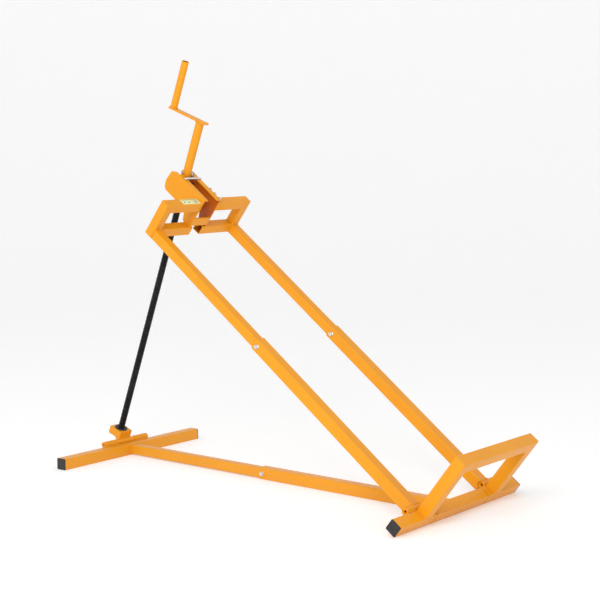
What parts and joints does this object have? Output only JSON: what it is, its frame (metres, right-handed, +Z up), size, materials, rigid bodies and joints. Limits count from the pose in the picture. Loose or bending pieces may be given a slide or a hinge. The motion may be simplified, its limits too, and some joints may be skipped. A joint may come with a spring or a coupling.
{
  "type": "ride-on mower lift",
  "caption": "Hand-cranked mower lift: twin telescopic rails hinged on a wide front foot, toe loop, split top cradle and a black lifting screw with a crank.",
  "frame": {"origin": "on the ground under the middle of the rear foot tube", "axes": "+X from the rear foot to the toe loop, +Y to the left seen from the rear foot, +Z up"},
  "size_m": [1.6801, 0.7, 1.4408],
  "materials": {
    "orange_paint": "satin powder coat",
    "black_plastic": "matte moulded",
    "zinc": "bright zinc plate",
    "black_steel": "black oxide with a film of grease",
    "dark_steel": "machined, oiled",
    "label_film": "printed film"
  },
  "bodies": {
    "base": {"rear_foot_tube": "orange_paint", "rear_foot_plugs": "black_plastic", "base_inner_tube": "orange_paint", "foot_hinge_knuckles": "orange_paint", "foot_hinge_pin": "zinc"},
    "base_front": {"base_outer_tube": "orange_paint", "base_clamp_bolt": "zinc", "cross_tube_middle": "orange_paint", "front_hinge_bushes": "dark_steel", "front_hinge_shaft": "zinc"},
    "lower_frame": {"cross_tube_left": "orange_paint", "cross_tube_right": "orange_paint", "cross_tube_bushes": "dark_steel", "cross_tube_plugs": "black_plastic", "toe_leg_left": "orange_paint", "toe_leg_right": "orange_paint", "toe_top_bar": "orange_paint", "rail_outer_left": "orange_paint", "rail_outer_right": "orange_paint", "rail_end_knuckles": "orange_paint", "rail_end_bolts": "zinc", "rail_clamp_bolts": "zinc"},
    "upper_frame": {"rail_inner_left": "orange_paint", "rail_inner_right": "orange_paint", "cradle_upright_left": "orange_paint", "cradle_upright_right": "orange_paint", "cradle_top_bar_left": "orange_paint", "cradle_top_bar_right": "orange_paint", "cradle_bottom_bar_left": "orange_paint", "cradle_bottom_bar_right": "orange_paint", "housing_plate_left": "orange_paint", "housing_plate_right": "orange_paint", "housing_floor": "orange_paint", "housing_tie": "orange_paint", "housing_bosses": "orange_paint", "housing_bolts": "zinc", "housing_cross_rod": "zinc", "cradle_label": "label_film"},
    "nut": {"screw_nut": "dark_steel", "trunnion_pins": "zinc"},
    "screw_foot": {"foot_middle_knuckle": "orange_paint", "bearing_box": "orange_paint", "thrust_bearing": "zinc", "bearing_ring": "black_steel"},
    "screw": {"lifting_screw": "black_steel", "crank_shaft": "orange_paint", "crank_arm": "orange_paint", "crank_grip": "orange_paint", "crank_bolt": "zinc"}
  },
  "joints": [
    {"name": "base_slide", "type": "slide", "parent": "base", "child": "base_front", "axis": [1, 0, 0], "range_m": [-0.15, 0]},
    {"name": "lift", "type": "hinge", "parent": "base_front", "child": "lower_frame", "pos_m": [1.429, 0, 0.02799], "axis": [0, 1, 0], "range_deg": [-28, 0]},
    {"name": "rail_slide", "type": "slide", "parent": "lower_frame", "child": "upper_frame", "axis": [-0.8018, 0, 0.5976], "range_m": [-0.15, 0]},
    {"name": "nut_tilt", "type": "hinge", "parent": "upper_frame", "child": "nut", "pos_m": [0.2799, 0, 1.00298], "axis": [0, 1, 0], "range_deg": [0, 12.6]},
    {"name": "screw_tilt", "type": "hinge", "parent": "base", "child": "screw_foot", "pos_m": [-0.03, 0, 0.0445], "axis": [0, 1, 0], "range_deg": [-15.4, 0]},
    {"name": "crank_spin", "type": "hinge", "parent": "screw_foot", "child": "screw", "pos_m": [-0.06226, 0, 0.05616], "axis": [0.3399, 0, 0.9405], "continuous": true}
  ],
  "couplings": [
    {"joint": "rail_slide", "follows": "base_slide", "ratio": 0.995},
    {"joint": "nut_tilt", "follows": "lift", "ratio": -0.45},
    {"joint": "screw_tilt", "follows": "lift", "ratio": 0.55}
  ]
}
